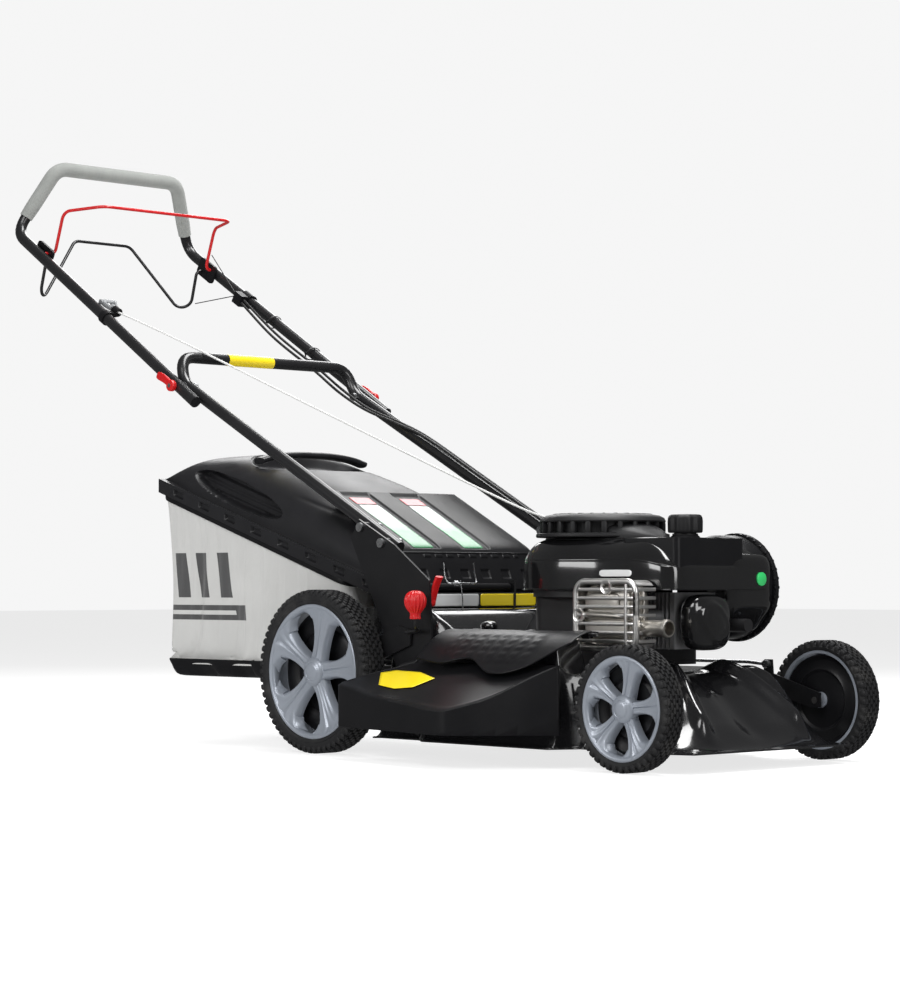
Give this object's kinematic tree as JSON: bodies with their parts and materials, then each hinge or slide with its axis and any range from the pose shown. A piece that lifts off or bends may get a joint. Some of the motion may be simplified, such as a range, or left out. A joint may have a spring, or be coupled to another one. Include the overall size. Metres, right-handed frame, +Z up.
{
  "type": "push lawn mower",
  "caption": "Walk-behind petrol lawn mower with steel deck, vertical-shaft engine, rear grass bag, side chute, folding tube handle and large spoked wheels.",
  "frame": {"origin": "centre of the whole object's box at the ground", "axes": "+X forward, +Y to the operator's left, +Z up"},
  "size_m": [1.8372, 0.698, 1.158],
  "materials": {
    "black_steel": "gloss black paint",
    "handle_steel": "satin black paint",
    "zinc": "bright zinc plate",
    "bare_steel": "machined",
    "black_plastic": "fine grain",
    "gloss_black": "polished",
    "rim_plastic": "satin grey",
    "tyre": "matt",
    "engine_alloy": "cast",
    "guard_alloy": "pressed",
    "foam": "soft foam",
    "red_plastic": "satin red",
    "red_wire": "dipped coating",
    "cable": "smooth jacket",
    "rope": "braided",
    "grey_plastic": "fine grain",
    "belt": "matt",
    "filter_foam": "foam",
    "bag_fabric": "woven mesh"
  },
  "bodies": {
    "chassis": {"deck": "black_steel", "discharge_tunnel": "black_plastic", "handle_brackets": "black_steel", "frame_bolts": "zinc", "crankcase": "engine_alloy", "cylinder": "engine_alloy", "rocker_cover": "gloss_black", "spark_plug": "black_plastic", "engine_shroud": "gloss_black", "air_filter_housing": "black_plastic", "air_filter_element": "filter_foam", "recoil_cover": "black_plastic", "fuel_tank": "gloss_black", "muffler": "engine_alloy", "muffler_guard": "guard_alloy", "side_chute": "black_plastic", "flap_hinges": "zinc", "lower_handle": "handle_steel", "control_cables": "cable", "drive_belt": "belt", "starter_rope": "rope"},
    "rear_lift": {"rear_lift_arms": "handle_steel", "rear_axle": "zinc", "height_lever": "zinc", "height_knob": "red_plastic", "gearbox": "engine_alloy"},
    "drive_pulley": {"drive_pulley": "bare_steel"},
    "front_lift": {"front_lift_arms": "handle_steel", "front_axle": "zinc"},
    "height_link": {"height_link": "zinc"},
    "crank": {"crankshaft": "bare_steel", "blade_adapter": "bare_steel", "blade": "bare_steel", "blade_bolt": "bare_steel", "flywheel": "engine_alloy"},
    "fuel_cap": {"fuel_cap": "black_plastic"},
    "side_flap": {"side_flap": "black_plastic"},
    "rear_flap": {"rear_flap": "black_plastic"},
    "upper_handle": {"upper_handle": "handle_steel", "foam_grip": "foam", "bail_blocks": "black_plastic", "handle_clips": "black_plastic", "bail_wires": "zinc"},
    "cam_lever_left": {"cam_lever_left": "red_plastic"},
    "cam_lever_right": {"cam_lever_right": "red_plastic"},
    "brake_bail": {"brake_bail": "red_wire"},
    "drive_bail": {"drive_bail": "handle_steel"},
    "starter_grip": {"starter_grip": "grey_plastic"},
    "bag": {"bag_lid": "black_plastic", "bag_cloth": "bag_fabric", "bag_tray": "black_plastic"},
    "latch_lever": {"latch_lever": "red_plastic"},
    "rear_wheel_left": {"rear_tyre_left": "tyre", "rear_rim_left": "rim_plastic"},
    "rear_wheel_right": {"rear_tyre_right": "tyre", "rear_rim_right": "rim_plastic"},
    "front_wheel_left": {"front_tyre_left": "tyre", "front_rim_left": "rim_plastic"},
    "front_wheel_right": {"front_tyre_right": "tyre", "front_rim_right": "rim_plastic"}
  },
  "joints": [
    {"name": "handle_fold", "type": "hinge", "parent": "chassis", "child": "upper_handle", "pos_m": [-0.3404, 0.051, 0.665], "axis": [0, 1, 0], "range_deg": [0, 150], "deforming": ["starter_rope", "control_cables"]},
    {"name": "cam_turn_left", "type": "hinge", "parent": "chassis", "child": "cam_lever_left", "pos_m": [-0.3404, 0.289, 0.665], "axis": [0, 1, 0], "range_deg": [0, 90]},
    {"name": "cam_turn_right", "type": "hinge", "parent": "chassis", "child": "cam_lever_right", "pos_m": [-0.3404, -0.187, 0.665], "axis": [0, 1, 0], "range_deg": [0, 90]},
    {"name": "brake_bail_swing", "type": "hinge", "parent": "upper_handle", "child": "brake_bail", "pos_m": [-0.8114, 0.051, 0.95903], "axis": [0, -1, 0], "range_deg": [0, 60], "stiffness_Nm_per_rad": 0.8, "deforming": ["bail_wires"]},
    {"name": "drive_bail_swing", "type": "hinge", "parent": "upper_handle", "child": "drive_bail", "pos_m": [-0.8394, 0.051, 0.96003], "axis": [0, 1, 0], "range_deg": [0, 30], "stiffness_Nm_per_rad": 0.8, "deforming": ["bail_wires"]},
    {"name": "starter_pull", "type": "slide", "parent": "upper_handle", "child": "starter_grip", "axis": [-0.8184, 0.1996, 0.5389], "range_m": [0, 0.45], "stiffness_N_per_m": 15, "deforming": ["starter_rope"]},
    {"name": "rear_flap_swing", "type": "hinge", "parent": "chassis", "child": "rear_flap", "pos_m": [0.2306, 0.051, 0.288], "axis": [0, 1, 0], "range_deg": [0, 45], "deforming": ["starter_rope"]},
    {"name": "side_flap_swing", "type": "hinge", "parent": "chassis", "child": "side_flap", "pos_m": [0.5186, -0.129, 0.212], "axis": [-1, 0, 0], "range_deg": [0, 85]},
    {"name": "latch_turn", "type": "hinge", "parent": "chassis", "child": "latch_lever", "pos_m": [0.3506, -0.174, 0.262], "axis": [0, -1, 0], "range_deg": [0, 25]},
    {"name": "fuel_cap_turn", "type": "hinge", "parent": "chassis", "child": "fuel_cap", "pos_m": [0.6806, 0.096, 0.378], "axis": [0, 0, 1], "range_deg": [0, 120]},
    {"name": "crank_spin", "type": "hinge", "parent": "chassis", "child": "crank", "pos_m": [0.5366, 0.051, 0.1], "axis": [0, 0, 1], "continuous": true},
    {"name": "height_adjust", "type": "hinge", "parent": "chassis", "child": "rear_lift", "pos_m": [0.3006, 0.051, 0.204], "axis": [0, -1, 0], "range_deg": [0, 16.82], "deforming": ["drive_belt"]},
    {"name": "front_height", "type": "hinge", "parent": "chassis", "child": "front_lift", "pos_m": [0.7186, 0.051, 0.125], "axis": [0, 1, 0], "range_deg": [0, 32.65]},
    {"name": "link_slide", "type": "slide", "parent": "chassis", "child": "height_link", "axis": [1, 0, 0], "range_m": [0, 0.0178]},
    {"name": "drive_pulley_spin", "type": "hinge", "parent": "rear_lift", "child": "drive_pulley", "pos_m": [0.1486, 0.221, 0.11], "axis": [0, 0, 1], "continuous": true},
    {"name": "bag_slide", "type": "slide", "parent": "chassis", "child": "bag", "axis": [-1, 0, 0], "range_m": [0, 0.3]},
    {"name": "rear_wheel_left_spin", "type": "hinge", "parent": "rear_lift", "child": "rear_wheel_left", "pos_m": [0.1186, 0.324, 0.142], "axis": [0, 1, 0], "continuous": true},
    {"name": "front_wheel_left_spin", "type": "hinge", "parent": "front_lift", "child": "front_wheel_left", "pos_m": [0.8186, 0.292, 0.1], "axis": [0, 1, 0], "continuous": true},
    {"name": "rear_wheel_right_spin", "type": "hinge", "parent": "rear_lift", "child": "rear_wheel_right", "pos_m": [0.1186, -0.222, 0.142], "axis": [0, 1, 0], "continuous": true},
    {"name": "front_wheel_right_spin", "type": "hinge", "parent": "front_lift", "child": "front_wheel_right", "pos_m": [0.8186, -0.19, 0.1], "axis": [0, 1, 0], "continuous": true}
  ],
  "couplings": [
    {"joint": "front_height", "follows": "height_adjust", "ratio": 1.9417},
    {"joint": "link_slide", "follows": "height_adjust", "m_per_rad": 0.060663},
    {"joint": "drive_pulley_spin", "follows": "crank_spin", "ratio": 0.96154}
  ]
}
